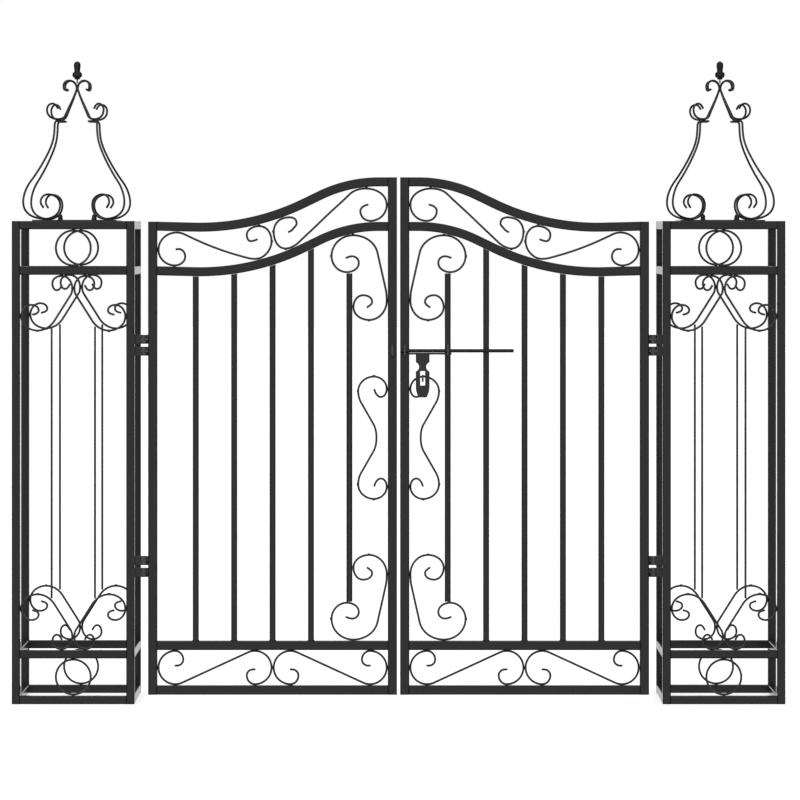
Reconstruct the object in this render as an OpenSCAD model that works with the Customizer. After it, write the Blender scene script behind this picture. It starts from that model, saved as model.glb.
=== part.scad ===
// Wrought iron garden gate: two leaves between two open square pillars with scroll finials.
// X runs across the gate, Y to the back, Z up. The origin is the foot of the left hinge post.

/* [Overall] */
// Clear width between the two pillars
opening_w = 833; // [730:1:1200]
// Gap between the two leaves where they meet
meeting_gap = 5; // [3:0.5:12]

/* [Pillars] */
// Height of the pillar's frame
pillar_h = 762; // [600:1:1200]
// Side of the square pillar, over its posts
pillar_w = 193.5; // [170:0.5:260]
// Side of the pillar's square tube
post_w = 13; // [10:0.5:20]
// Height from the ground to the upper face of the lower middle rail
panel_inset = 85; // [75:0.5:120]
// Outer diameter of the ring between two rails
ring_d = 58.4; // [50:0.2:59]
// Height of the scrolls in the pillar's panel
corner_scroll_h = 89.2; // [70:0.2:110]
// Distance of the pillar's upright rods from its middle
upright_offset = 34.2; // [25:0.2:45]

/* [Leaves] */
// Height of the hinge stile over the ground
hinge_stile_top = 761; // [700:1:1000]
// Gap between the leaf and the ground
ground_gap = 15; // [10:0.5:40]
// Side of the leaf's square tube
leaf_tube = 14.5; // [12:0.5:20]
// Side of the pickets' square tube
picket_w = 9.5; // [8:0.5:12]
// Gap between the pillar and the leaf
hinge_gap = 21.5; // [18:0.5:30]
// Clear height of the bottom scroll band
bottom_band_h = 55.8; // [50:0.2:80]
// Clear height of the top scroll band
top_band_h = 55.8; // [50:0.2:80]
// Height of the corner scrolls beside the meeting stile
lock_scroll_h = 136.6; // [110:0.2:160]
// Height of the middle scroll beside the meeting stile
middle_scroll_h = 196; // [150:1:240]
// Gap between the middle scroll and the short picket
middle_gap = 7.6; // [3:0.1:14]
// Height of the middle scroll's centre above the ground
middle_scroll_z = 420; // [380:1:460]

/* [Top rail] */
// Slope of the rail's first straight stretch, downwards, in degrees
dip_deg = 1.4; // [0:0.1:3]
// Steepest slope of the rail, upwards, in degrees
rise_deg = 25.8; // [15:0.1:30]
// Radius of the hollow bend
hollow_r = 376; // [250:1:450]
// Radius of the round bend
crown_r = 210; // [150:1:260]
// Length of the straight between the two bends
slope_l = 30; // [10:1:50]
// Length of the flat stretch at the meeting stile
flat_l = 14.6; // [5:0.2:60]

/* [Rods and scrolls] */
// Thickness of the scroll bars and rings
rod_w = 3; // [2:0.5:4]
// Gap left for the weld where a round touches a flat
weld_gap = 0.2; // [0.1:0.05:0.4]

/* [Finial] */
// Side of the square plate under the finial
plate_w = 134; // [120:1:150]
// Thickness of the plate under the finial
plate_t = 2; // [1.5:0.5:4]
// How far the large finial scrolls reach from the middle, along the diagonal
finial_reach = 113; // [100:1:130]
// Height of the large finial scrolls
finial_scroll_h = 158.5; // [140:0.5:200]
// How far the crown's scrolls reach from the middle, along the diagonal
crown_reach = 63.5; // [55:0.5:75]
// Height of the crown's scrolls
crown_h = 67; // [55:0.5:80]
// Height of the cast tip above the crown
tip_h = 27.5; // [24:0.5:45]
// Diameter of the cast tip's body
tip_d = 11; // [9:0.5:15]

/* [Hinges] */
// Outside diameter of the hinge barrels
barrel_d = 12; // [10:0.5:14]
// Diameter of the hinge pin
pin_d = 6; // [4:0.5:7]
// Height of one hinge knuckle
knuckle_h = 7; // [5:0.5:10]
// Clearance all round the hinge pin
pin_clearance = 0.15; // [0.1:0.05:0.4]
// Gap between a pillar knuckle and the leaf knuckle on it
knuckle_gap = 0.3; // [0.2:0.1:1]
// Height of the lower hinge's middle above the ground
lower_hinge_z = 217; // [150:1:300]
// Height of the upper hinge's middle above the ground
upper_hinge_z = 566; // [450:1:650]
// Height between the two knuckle pairs of one hinge
pair_pitch = 18.7; // [16:0.1:30]

/* [Bolt] */
// Diameter of the sliding bolt
bolt_d = 5.6; // [4:0.2:7]
// Length of the sliding bolt
bolt_l = 179; // [160:1:220]
// Height of the bolt above the ground
bolt_z = 557.5; // [500:0.5:620]
// Clearance all round the bolt in its staples
bolt_clearance = 0.4; // [0.2:0.1:1]
// Width of the hasp
hasp_w = 21.8; // [16:0.2:28]
// Length of the hasp below its bar
hasp_l = 69; // [60:1:90]
// Diameter of the bar that carries the hasp
hasp_bar_d = 3; // [2:0.5:4]
// Clearance between the bolt and the hasp's bar below it
bar_clearance = 0.3; // [0.2:0.1:1]
// How far the hasp hangs to the meeting side of the middle between its staples
hasp_shift = 5.7; // [0:0.1:10]
// Thickness of the hasp
hasp_t = 2.5; // [2:0.5:4]
// Width of the hasp's slot
slot_w = 7.6; // [6:0.2:10]
// Length of the hasp's slot
slot_l = 22.5; // [16:0.5:30]
// How far the staples stand over the bolt
loop_rise = 5; // [2:0.5:8]
// Distance from the hasp's bar down to its slot
slot_drop = 27.6; // [26:0.2:32]
// Distance from the hasp's bar down to its waist
notch_drop = 20.8; // [18:0.2:24]
// Radius of the two round notches at the waist
notch_r = 7.5; // [6:0.1:8]
// Depth of the two round notches
notch_depth = 5.2; // [4:0.1:6]
// Radius of the hasp's sides where they narrow to its foot
foot_side_r = 38; // [30:0.5:80]
// Distance from the hasp's bar down to where its sides start to narrow
foot_drop = 51; // [50:0.1:55]
// Length of the lock eye from the scroll to its front
eye_l = 19; // [17:0.5:24]
// Height of the lock eye
eye_h = 11; // [9:0.5:14]

/* [Hidden] */
// Spaces between the pickets, for which the scrolls beside the meeting stile are drawn
picket_spaces = 6;
// Gap between a picket's end and what it is welded to
picket_margin = 0.3;
// Gap between a hinge barrel and the leaf's stile
barrel_gap = 1;
// How far the hasp's bar stands out of its staples
bar_overrun = 6;
// Round the corners of the square tubes by this radius
tube_r = 2;
// Fine curves of tubes and rings
smooth = 96;
// Curves of small round parts
fine = 32;
// Turn between two points of a scroll's outline, in degrees
bend_step = 12;
// Turn between two rings of a curved rail, in degrees
rail_step_deg = 4;
// Overrun of a cut past the surface that it opens
cut = 1;

// Powder-coated steel
black = [0.06, 0.06, 0.065];

// Places across the gate are counted from its middle, which lies here in the part's frame
gate_x = (opening_w + post_w) / 2;
pillar_x = (opening_w + pillar_w) / 2;
pillar_y = (pillar_w - post_w) / 2;
rail_bay = pillar_w - 2 * post_w;

// The leaf, from its meeting side to its hinge side
meet_x = meeting_gap / 2;
hinge_side_x = opening_w / 2 - hinge_gap;
bay_meet_x = meet_x + leaf_tube;
bay_hinge_x = hinge_side_x - leaf_tube;
bay_w = bay_hinge_x - bay_meet_x;
pitch = bay_w / picket_spaces;
lower_rail_z = ground_gap + leaf_tube + bottom_band_h;
lower_rail_top = lower_rail_z + leaf_tube;

// The leaf's curved rails, as straights and bends from the hinge stile to the meeting stile
bend_rise = crown_r * (1 - cos(rise_deg)) + slope_l * sin(rise_deg)
  + hollow_r * (cos(dip_deg) - cos(rise_deg));
bend_run = (crown_r + hollow_r) * sin(rise_deg) + slope_l * cos(rise_deg) + hollow_r * sin(dip_deg);
entry_l = (bay_w - flat_l - bend_run) / cos(dip_deg);
rail_rise = bend_rise - entry_l * sin(dip_deg);
top_rail_z = hinge_stile_top - leaf_tube / 2;
rail_drop = top_band_h + leaf_tube;
meeting_stile_top = hinge_stile_top + rail_rise;

// The hinge line and the bolt
hinge_x = opening_w / 2 - hinge_gap + barrel_d / 2 + barrel_gap;
bolt_y = -(leaf_tube / 2 + bolt_clearance + bolt_d / 2);
bolt_x = meet_x;
loop_in_r = bolt_d / 2 + bolt_clearance;

// Scroll shares: [across, up, heading in degrees], across and up as shares of the scroll's box
corner_scroll_shares = [
  [0.80, 0.836, 240], [0.70, 0.739, 180], [0.61, 0.864, 90], [0.79, 1, 0], [1, 0.778, -90],
  [0.97, 0.653, -122], [0.655, 0.187, -122], [0.32, 0, -180], [0, 0.26, -270],
  [0.20, 0.47, -360], [0.34, 0.37, -450], [0.21, 0.29, -530]
];
hinge_band_shares = [
  [0.15, 0.48, 25], [0.18, 0.50, 0], [0.236, 0.28, -90], [0.14, 0, -180], [0, 0.46, -270],
  [0.165, 1, -360], [0.23, 0.95, -384.4], [0.747, 0.16, -384.4], [0.888, 0, -360],
  [1, 0.41, -270], [0.858, 1, -180], [0.781, 0.81, -90], [0.827, 0.58, 0], [0.878, 0.60, 20]
];
meeting_band_shares = [
  [0.127, 0.50, 25], [0.167, 0.54, 45], [0.203, 0.67, 90], [0.073, 1, 180], [0, 0.69, 270],
  [0.155, 0, 360], [0.22, 0.046, 387], [0.441, 0.418, 388.6], [0.672, 0.90, 397.6],
  [0.78, 1, 360], [1, 0.48, 270], [0.862, 0, 180], [0.767, 0.33, 90], [0.84, 0.50, 5]
];
bottom_band_shares = [
  [0.141, 0.557, 0], [0.163, 0.557, 0], [0.219, 0.74, 90], [0.148, 1, 180], [0, 0.5, 270],
  [0.148, 0, 360], [0.209, 0.045, 384.7]
];
lock_scroll_shares = [
  [0.40, 0.855, -40], [0.56, 0.785, -90], [0.29, 0.708, -180], [0, 0.848, -270], [0.47, 1, -360],
  [1, 0.775, -450], [0.97, 0.638, -462.4], [0.725, 0.21, -462.4], [-0.01, 0, -540],
  [-0.66, 0.245, -630], [-0.20, 0.435, -720], [0.16, 0.324, -810], [-0.04, 0.248, -900],
  [-0.24, 0.27, -922]
];
middle_scroll_shares = [
  [0.56, 0.80, -75], [0.65, 0.705, -50], [0.79, 0.667, 0], [1, 0.80, 90], [0.55, 1, 180],
  [0, 0.76, 270], [0.112, 0.566, 300.5], [0.53, 0.227, 300.5], [0.64, 0, 270]
];
finial_scroll_shares = [
  [0.625, 0.11, 60], [0.68, 0.17, 90], [0.54, 0.25, 180], [0.32, 0.14, 270], [0.60, 0, 360],
  [1, 0.17, 450], [0.93, 0.32, 482], [0.78, 0.445, 491], [0.58, 0.63, 484], [0.45, 0.805, 468],
  [0.42, 0.965, 453], [0.38, 1, 540], [0.23, 1, 540]
];
crown_scroll_shares = [
  [0.64, 0.26, 70], [0.82, 0.395, 0], [1, 0.23, -90], [0.68, 0, -180], [0.40, 0.10, -241],
  [0.066, 0.73, -247], [0.05, 0.80, -270], [0.31, 1, -360], [0.49, 0.86, -450],
  [0.41, 0.755, -540], [0.32, 0.79, -610]
];

// A scroll through knots of [across, up, heading]: points of [across, up, way across, way up]
function span_point(p, q, t) = let (
    turn = q[2] - p[2],
    reach = norm([q[0] - p[0], q[1] - p[1]]) / (3 * pow(cos(turn / 4), 2)),
    a = [p[0], p[1]],
    d = [q[0], q[1]],
    b = a + reach * [cos(p[2]), sin(p[2])],
    c = d - reach * [cos(q[2]), sin(q[2])],
    u = 1 - t,
    place = u * u * u * a + 3 * u * u * t * b + 3 * u * t * t * c + t * t * t * d,
    way = u * u * (b - a) + 2 * u * t * (c - b) + t * t * (d - c)
  ) [place[0], place[1], way[0], way[1]];
function span_count(p, q) = p[2] == q[2] ? 1 : ceil(abs(q[2] - p[2]) / bend_step);
function curve_points(knots) = [
  for (i = [0:len(knots) - 2], j = [0:span_count(knots[i], knots[i + 1]) - (i < len(knots) - 2 ? 1 : 0)])
    span_point(knots[i], knots[i + 1], j / span_count(knots[i], knots[i + 1]))
];
// Knots given as shares, placed in a box from its low corner
function in_box(shares, low, size) = [
  for (k = shares) [low[0] + k[0] * size[0], low[1] + k[1] * size[1], k[2]]
];
// The second half of a curve that is its own image when turned by half a turn
function half_turned(shares) = [
  for (i = [len(shares) - 1:-1:0]) [1 - shares[i][0], 1 - shares[i][1], shares[i][2]]
];
// The second half of a curve that is its own image in its level middle line
function turned_over(shares) = [
  for (i = [len(shares) - 2:-1:0]) [shares[i][0], -shares[i][1], 540 - shares[i][2]]
];
function beside(p, d) = let (l = norm([p[2], p[3]])) [p[0] - p[3] / l * d, p[1] + p[2] / l * d];
function bar_outline(points) = concat(
  [for (p = points) beside(p, rod_w / 2)],
  [for (i = [len(points) - 1:-1:0]) beside(points[i], -rod_w / 2)]
);

// A bar bent along points in the upright plane at y = 0
module bent_bar(points) {
  rotate([90, 0, 0])
    translate([0, 0, -rod_w / 2])
      linear_extrude(rod_w)
        polygon(bar_outline(points));
}

// A square with rounded corners
module tube_section(w) {
  square([w - 2 * tube_r, w], center = true);
  square([w, w - 2 * tube_r], center = true);
  for (x = [-1, 1], y = [-1, 1])
    translate([x * (w / 2 - tube_r), y * (w / 2 - tube_r)])
      circle(tube_r, $fn = fine);
}

// An upright square tube that stands on z = 0
module upright_tube(w, h) {
  linear_extrude(h)
    tube_section(w);
}

// A level square tube from x = 0 along X
module level_tube(w, l) {
  rotate([90, 0, 90])
    linear_extrude(l)
      tube_section(w);
}

// Height of the curved rail's centre line over its start, at a distance from the hinge stile
entry_end = [entry_l * cos(dip_deg), -entry_l * sin(dip_deg)];
hollow_low = [entry_end[0] + hollow_r * sin(dip_deg), entry_end[1] - hollow_r * (1 - cos(dip_deg))];
hollow_end = [
  hollow_low[0] + hollow_r * sin(rise_deg), hollow_low[1] + hollow_r * (1 - cos(rise_deg))
];
slope_end = hollow_end + slope_l * [cos(rise_deg), sin(rise_deg)];
crown_top = [slope_end[0] + crown_r * sin(rise_deg), slope_end[1] + crown_r * (1 - cos(rise_deg))];
function rail_height(d) =
  d < entry_end[0] ? -d * tan(dip_deg)
  : d < hollow_end[0] ? hollow_low[1] + hollow_r - sqrt(pow(hollow_r, 2) - pow(d - hollow_low[0], 2))
  : d < slope_end[0] ? hollow_end[1] + (d - hollow_end[0]) * tan(rise_deg)
  : d < crown_top[0] ? crown_top[1] - crown_r + sqrt(pow(crown_r, 2) - pow(crown_top[0] - d, 2))
  : crown_top[1];
function rail_slope(d) =
  d < entry_end[0] ? -tan(dip_deg)
  : d < hollow_end[0] ? (d - hollow_low[0]) / sqrt(pow(hollow_r, 2) - pow(d - hollow_low[0], 2))
  : d < slope_end[0] ? tan(rise_deg)
  : d < crown_top[0] ? (crown_top[0] - d) / sqrt(pow(crown_r, 2) - pow(crown_top[0] - d, 2))
  : 0;
// Half a tube's thickness measured upright where the rail slopes
function half_upright(d, w) = w / 2 * sqrt(1 + pow(rail_slope(d), 2));
arched_rail_z = top_rail_z - rail_drop;

// A curved rail is swept through rings of a rounded square, from stile to stile
rail_places = concat(
  [0, entry_end[0] / 2],
  [for (a = [-dip_deg:rail_step_deg:rise_deg]) hollow_low[0] + hollow_r * sin(a)],
  [for (a = [rise_deg:-rail_step_deg:0]) crown_top[0] - crown_r * sin(a)],
  [crown_top[0], bay_w]
);
corner_turns = [0, 45, 90];
function tube_ring(w) = [
  for (i = [0:3], t = corner_turns) let (a = 90 * i + t, c = 45 + 90 * i) [
    (w / 2 - tube_r) * sqrt(2) * cos(c) + tube_r * cos(a),
    (w / 2 - tube_r) * sqrt(2) * sin(c) + tube_r * sin(a)
  ]
];
module curved_rail(z) {
  ring = tube_ring(leaf_tube);
  sides = len(ring);
  rings = len(rail_places);
  points = [
    for (d = rail_places) let (slope = d <= 0 || d >= bay_w ? 0 : rail_slope(d))
      for (p = ring) [
        d - bay_hinge_x - p[1] * sin(atan(slope)),
        p[0],
        z + rail_height(d) + p[1] * cos(atan(slope))
      ]
  ];
  walls = [
    for (i = [0:rings - 2], j = [0:sides - 1]) let (k = (j + 1) % sides)
      [i * sides + j, i * sides + k, (i + 1) * sides + k, (i + 1) * sides + j]
  ];
  color(black)
    polyhedron(
      points,
      concat([[for (j = [sides - 1:-1:0]) j]], walls, [[for (j = [0:sides - 1]) (rings - 1) * sides + j]])
    );
}

// Points drawn in a straight band, moved up and down with the curved rails that close it
function with_rail(points) = [
  for (p = points) let (
      low = arched_rail_z + rail_height(p[0]) + half_upright(p[0], leaf_tube),
      high = top_rail_z + rail_height(p[0]) - half_upright(p[0], leaf_tube),
      margin = half_upright(p[0], rod_w) + weld_gap * 2,
      clear = high - low - 2 * margin,
      z = low + margin + p[1] * clear
    ) [p[0], z, p[2], p[3] * clear + p[2] * rail_slope(p[0])]
];

// Pillar, its middle at x = 0 and y = 0

module pillar_posts() {
  color(black)
    for (x = [-1, 1], y = [-1, 1])
      translate([x * pillar_y, y * pillar_y, 0])
        upright_tube(post_w, pillar_h);
}

rail_levels = [
  post_w / 2, panel_inset - post_w / 2, pillar_h - panel_inset + post_w / 2, pillar_h - post_w / 2
];

module pillar_rails() {
  color(black)
    for (z = rail_levels, side = [0:90:270])
      rotate([0, 0, side])
        translate([-rail_bay / 2, -pillar_y, z])
          level_tube(post_w, rail_bay);
}

// The bar across the top of the pillar that carries the finial
module finial_bar() {
  color(black)
    translate([-rail_bay / 2, 0, pillar_h - post_w / 2])
      level_tube(post_w, rail_bay);
}

ring_zs = [
  (rail_levels[0] + rail_levels[1]) / 2, (rail_levels[2] + rail_levels[3]) / 2
];
ring_space = rail_levels[1] - rail_levels[0] - post_w;
ring_out_r = min(ring_d, ring_space) / 2 - weld_gap;

module pillar_rings() {
  color(black)
    for (z = ring_zs, y = [-1, 1])
      translate([0, y * pillar_y, z])
        rotate([90, 0, 0])
          rotate_extrude($fn = smooth)
            translate([ring_out_r - rod_w / 2, 0])
              circle(d = rod_w, $fn = fine);
}

corner_low = pillar_h - panel_inset - weld_gap - rod_w / 2 - corner_scroll_h + rod_w;
corner_knots = in_box(
  corner_scroll_shares,
  [-rail_bay / 2 + weld_gap + rod_w / 2, corner_low],
  [rail_bay / 2 - 2 * weld_gap - rod_w, corner_scroll_h - rod_w]
);

module corner_scrolls() {
  color(black)
    for (y = [-1, 1], side = [0, 1])
      translate([0, y * pillar_y, 0])
        mirror([side, 0, 0])
          bent_bar(curve_points(corner_knots));
}

module pillar_bottom_scrolls() {
  translate([0, 0, pillar_h])
    mirror([0, 0, 1])
      corner_scrolls();
}

// The corner scroll's underside at the two sides of an upright rod
function heights_at(outline, x) = [
  for (i = [0:len(outline) - 2]) let (p = outline[i], q = outline[i + 1])
    if ((p[0] - x) * (q[0] - x) < 0) p[1] + (x - p[0]) / (q[0] - p[0]) * (q[1] - p[1])
];
corner_outline = bar_outline(curve_points(corner_knots));
upright_top = min([
  for (s = [-1, 1]) min(heights_at(corner_outline, -upright_offset + s * rod_w / 2))
]) - weld_gap;

module pillar_uprights() {
  color(black)
    for (x = [-1, 1], y = [-1, 1])
      translate([x * upright_offset, y * pillar_y, pillar_h - upright_top])
        cylinder(h = 2 * upright_top - pillar_h, d = rod_w, $fn = fine);
}

// Finial

module finial_base() {
  color(black)
    translate([-plate_w / 2, -plate_w / 2, pillar_h])
      cube([plate_w, plate_w, plate_t]);
}

finial_z = pillar_h + plate_t;
finial_knots = in_box(
  finial_scroll_shares, [0, finial_z + weld_gap + rod_w / 2], [finial_reach, finial_scroll_h - rod_w]
);

module finial_scrolls() {
  color(black)
    for (side = [45:90:315])
      rotate([0, 0, side])
        bent_bar(curve_points(finial_knots));
}

crown_z = finial_z + finial_scroll_h + 2 * weld_gap;
crown_knots = in_box(
  crown_scroll_shares, [0, crown_z + rod_w / 2], [crown_reach, crown_h - rod_w]
);

module finial_crown() {
  color(black)
    for (side = [45:90:315])
      rotate([0, 0, side])
        bent_bar(curve_points(crown_knots));
}

// The cast tip: a neck, a bulb and a domed body
neck_share = 0.55;
collar_share = 0.08;
bulb_h_share = 0.3;
bulb_share = 1.4;
// The neck stands between the crown's bars, from this share of the crown's height
seat_share = 0.885;
tip_z = crown_z + crown_h * seat_share;

module finial_tip() {
  neck_r = tip_d * neck_share / 2;
  bulb_r = tip_d * bulb_share / 2;
  seat_h = crown_h * (1 - seat_share);
  collar_h = seat_h + tip_h * collar_share;
  bulb_h = tip_h * bulb_h_share;
  body_h = tip_h + seat_h - collar_h - bulb_h;
  color(black) translate([0, 0, tip_z]) {
    cylinder(h = collar_h, r = neck_r, $fn = fine);
    translate([0, 0, collar_h])
      rotate_extrude($fn = smooth)
        intersection() {
          translate([bulb_r - bulb_h / 2, bulb_h / 2])
            union() {
              circle(d = bulb_h, $fn = fine);
              translate([-bulb_r, -bulb_h / 2])
                square([bulb_r, bulb_h]);
            }
          square([bulb_r, bulb_h]);
        }
    translate([0, 0, collar_h + bulb_h])
      rotate_extrude($fn = smooth)
        intersection() {
          union() {
            square([tip_d / 2, body_h - tip_d / 2]);
            translate([0, body_h - tip_d / 2])
              circle(d = tip_d, $fn = smooth);
          }
          square([tip_d, body_h]);
        }
  }
}

// Hinges: each station has two pairs of a pillar knuckle with a pin and a leaf knuckle on it

pair_bottoms = [
  for (z = [lower_hinge_z, upper_hinge_z], s = [-1, 1])
    z + s * pair_pitch / 2 - knuckle_h - knuckle_gap / 2
];
lug_t = barrel_d / 2;

// The pillar's side of one pair, its axis on z and its lug towards negative x
module pillar_knuckle() {
  cylinder(h = knuckle_h, d = barrel_d, $fn = smooth);
  cylinder(h = 2 * knuckle_h, d = pin_d, $fn = smooth);
  translate([-(opening_w / 2 - hinge_x), -lug_t / 2, 0])
    cube([opening_w / 2 - hinge_x, lug_t, knuckle_h]);
}

// The leaf's side of one pair, its lug towards positive x
module leaf_knuckle() {
  difference() {
    union() {
      cylinder(h = knuckle_h, d = barrel_d, $fn = smooth);
      translate([0, -lug_t / 2, 0])
        cube([hinge_x - hinge_side_x, lug_t, knuckle_h]);
    }
    translate([0, 0, -cut])
      cylinder(h = knuckle_h + 2 * cut, d = pin_d + 2 * pin_clearance, $fn = smooth);
  }
}

module pillar_hinges() {
  color(black)
    for (z = pair_bottoms)
      translate([-hinge_x, 0, z])
        pillar_knuckle();
}

module leaf_hinges() {
  color(black)
    for (z = pair_bottoms)
      translate([-hinge_x, 0, z + knuckle_h + knuckle_gap])
        leaf_knuckle();
}

// Left leaf, counted from the gate's middle, so its hinge side lies at negative x

module hinge_stile() {
  color(black)
    translate([-hinge_side_x + leaf_tube / 2, 0, ground_gap])
      upright_tube(leaf_tube, hinge_stile_top - ground_gap);
}

module meeting_stile() {
  color(black)
    translate([-meet_x - leaf_tube / 2, 0, ground_gap])
      upright_tube(leaf_tube, meeting_stile_top - ground_gap);
}

module lower_rails() {
  color(black)
    for (z = [ground_gap, lower_rail_z])
      translate([-bay_hinge_x, 0, z + leaf_tube / 2])
        level_tube(leaf_tube, bay_w);
}

lock_box = [pitch - picket_w / 2 - rod_w - 2 * weld_gap, lock_scroll_h - rod_w];
lock_x = -bay_meet_x - pitch + picket_w / 2 + weld_gap + rod_w / 2;
lock_low = lower_rail_top + weld_gap + rod_w / 2;
lock_knots = in_box(lock_scroll_shares, [lock_x, lock_low], lock_box);
// The low corner scroll carries the short picket on its lower curl
short_low = lock_knots[10][1] + rod_w / 2 + weld_gap + picket_margin;
// The arched rail's underside where the upper corner scroll's large curl touches it
lock_curl_r = (lock_knots[10][1] - lock_knots[8][1] + rod_w) / 2;
lock_top_d = lock_knots[8][0] + bay_hinge_x;
arch_underside = arched_rail_z + rail_height(lock_top_d)
  - half_upright(lock_top_d, leaf_tube + 2 * lock_curl_r) + lock_curl_r - 2 * weld_gap;
lock_middle = (lower_rail_top + arch_underside) / 2;

// A picket whose top is cut along the underside of the arched rail, at a distance from the hinge stile
module picket_to_rail(d) {
  top = arched_rail_z + rail_height(d) - half_upright(d, leaf_tube) - picket_margin;
  difference() {
    translate([0, 0, lower_rail_top])
      upright_tube(picket_w, top + picket_w - lower_rail_top);
    translate([0, 0, top])
      rotate([0, -atan(rail_slope(d)), 0])
        translate([-picket_w, -picket_w, 0])
          cube([2 * picket_w, 2 * picket_w, 2 * picket_w]);
  }
}

module pickets() {
  color(black) {
    for (i = [1:picket_spaces - 2])
      translate([-bay_hinge_x + i * pitch, 0, 0])
        picket_to_rail(i * pitch);
    translate([-bay_meet_x - pitch, 0, short_low])
      upright_tube(picket_w, 2 * (lock_middle - short_low));
  }
}

band_w = bay_w / 2 - 2 * weld_gap - rod_w;
band_start = weld_gap + rod_w / 2;

module top_band_scrolls() {
  color(black)
    translate([-bay_hinge_x, 0, 0]) {
      bent_bar(with_rail(unit_band(hinge_band_shares, band_start)));
      bent_bar(with_rail(unit_band(meeting_band_shares, bay_w / 2 + band_start)));
    }
}

// A band curve drawn true to its proportions, then its height turned into a share
band_draw_h = top_band_h - rod_w - 4 * weld_gap;
function unit_band(shares, start) = [
  for (p = curve_points(in_box(shares, [start, 0], [band_w, band_draw_h])))
    [p[0], p[1] / band_draw_h, p[2], p[3] / band_draw_h]
];

bottom_band_low = ground_gap + leaf_tube + weld_gap + rod_w / 2;
bottom_band_knots = in_box(
  concat(bottom_band_shares, half_turned(bottom_band_shares)),
  [band_start, bottom_band_low],
  [band_w, bottom_band_h - 2 * weld_gap - rod_w]
);

module bottom_band_scrolls() {
  color(black)
    for (side = [0, 1])
      translate([-bay_hinge_x + bay_w / 2, 0, 0])
        mirror([side, 0, 0])
          translate([-bay_w / 2, 0, 0])
            bent_bar(curve_points(bottom_band_knots));
}

middle_w = pitch - picket_w / 2 - weld_gap - rod_w - middle_gap;
middle_knots = in_box(
  concat(middle_scroll_shares, turned_over(middle_scroll_shares)),
  [-bay_meet_x - weld_gap - rod_w / 2 - middle_w, middle_scroll_z],
  [middle_w, (middle_scroll_h - rod_w) / 2]
);

module lock_scrolls() {
  color(black) {
    bent_bar(curve_points(lock_knots));
    translate([0, 0, 2 * lock_middle])
      mirror([0, 0, 1])
        bent_bar(curve_points(lock_knots));
    bent_bar(curve_points(middle_knots));
  }
}

// Bolt

// Outline of a loop from the plane y = back round the bolt and the hasp's bar below it
module loop_outline(r, back) {
  difference() {
    union() {
      for (z = [loop_rise, -bar_drop])
        translate([bolt_y, z])
          circle(r, $fn = smooth);
      translate([bolt_y - r, -bar_drop])
        square([r, bar_drop + loop_rise]);
      translate([bolt_y, -bar_drop - r])
        square([back - bolt_y, bar_drop + loop_rise + 2 * r]);
    }
    translate([back, -bar_drop - r - cut])
      square([r + cut, bar_drop + loop_rise + 2 * r + 2 * cut]);
  }
}

// A staple bent round the bolt, welded to the plane y = back
module staple(back) {
  rotate([90, 0, 90])
    translate([0, 0, -rod_w / 2])
      linear_extrude(rod_w)
        difference() {
          loop_outline(loop_in_r + rod_w, back);
          loop_outline(loop_in_r, back + cut);
        }
}

bar_drop = bolt_d / 2 + hasp_bar_d / 2 + bar_clearance;
hasp_bar_z = bolt_z - bar_drop;
staple_x = bay_meet_x - leaf_tube / 2;
short_picket_x = bay_meet_x + pitch;
hasp_x = (staple_x + short_picket_x) / 2 - hasp_shift;

module bolt_keeper() {
  color(black)
    translate([-staple_x, 0, bolt_z])
      staple(-leaf_tube / 2);
}

// The eye on the middle scroll, which reaches through the hasp's slot
eye_back = -rod_w / 2 - weld_gap;
eye_z = hasp_bar_z - slot_drop - slot_l / 2;
module lock_eye() {
  translate([hasp_x - rod_w / 2, 0, eye_z])
    rotate([90, 0, 90])
      linear_extrude(rod_w)
        difference() {
          eye_outline(eye_h / 2);
          eye_outline(eye_h / 2 - rod_w);
        }
}
module eye_outline(r) {
  for (y = [eye_back - eye_h / 2, eye_back - eye_l + eye_h / 2])
    translate([y, 0])
      circle(r, $fn = smooth);
  translate([eye_back - eye_l + eye_h / 2, -r])
    square([eye_l - eye_h, 2 * r]);
}

module bolt_staples() {
  color(black) {
    translate([staple_x, 0, bolt_z])
      staple(-leaf_tube / 2);
    translate([short_picket_x, 0, bolt_z])
      staple(-picket_w / 2);
    lock_eye();
  }
}

module sliding_bolt() {
  color(black)
    translate([bolt_x, bolt_y, bolt_z])
      rotate([0, 90, 0])
        cylinder(h = bolt_l, d = bolt_d, $fn = smooth);
}

// The hasp: a bar that turns in the two staples, with a slotted plate hanging from it
module hasp_plate() {
  rotate([90, 0, 0])
    translate([0, 0, -hasp_t / 2])
      linear_extrude(hasp_t)
        difference() {
          union() {
            translate([-hasp_w / 2, -foot_drop])
              square([hasp_w, foot_drop]);
            intersection() {
              translate([hasp_w / 2 - foot_side_r, -foot_drop])
                circle(foot_side_r, $fn = smooth);
              translate([foot_side_r - hasp_w / 2, -foot_drop])
                circle(foot_side_r, $fn = smooth);
              translate([-hasp_w / 2, -hasp_l])
                square([hasp_w, hasp_l]);
            }
          }
          for (x = [-1, 1])
            translate([x * (hasp_w / 2 + notch_r - notch_depth), -notch_drop])
              circle(notch_r, $fn = smooth);
          translate([-slot_w / 2, -slot_drop - slot_l])
            square([slot_w, slot_l]);
        }
}

module bolt_hasp() {
  color(black) {
    translate([hasp_x, bolt_y, hasp_bar_z])
      hasp_plate();
    translate([bolt_x, bolt_y, hasp_bar_z])
      rotate([0, 90, 0])
        cylinder(h = short_picket_x + bar_overrun - bolt_x, d = hasp_bar_d, $fn = smooth);
  }
}

// Placing: the left side as drawn, the right side as its mirror image

module on_gate(side) {
  translate([gate_x, 0, 0])
    mirror([side, 0, 0])
      children();
}

module on_pillar(side) {
  on_gate(side)
    translate([-pillar_x, pillar_y, 0])
      children();
}

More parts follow.
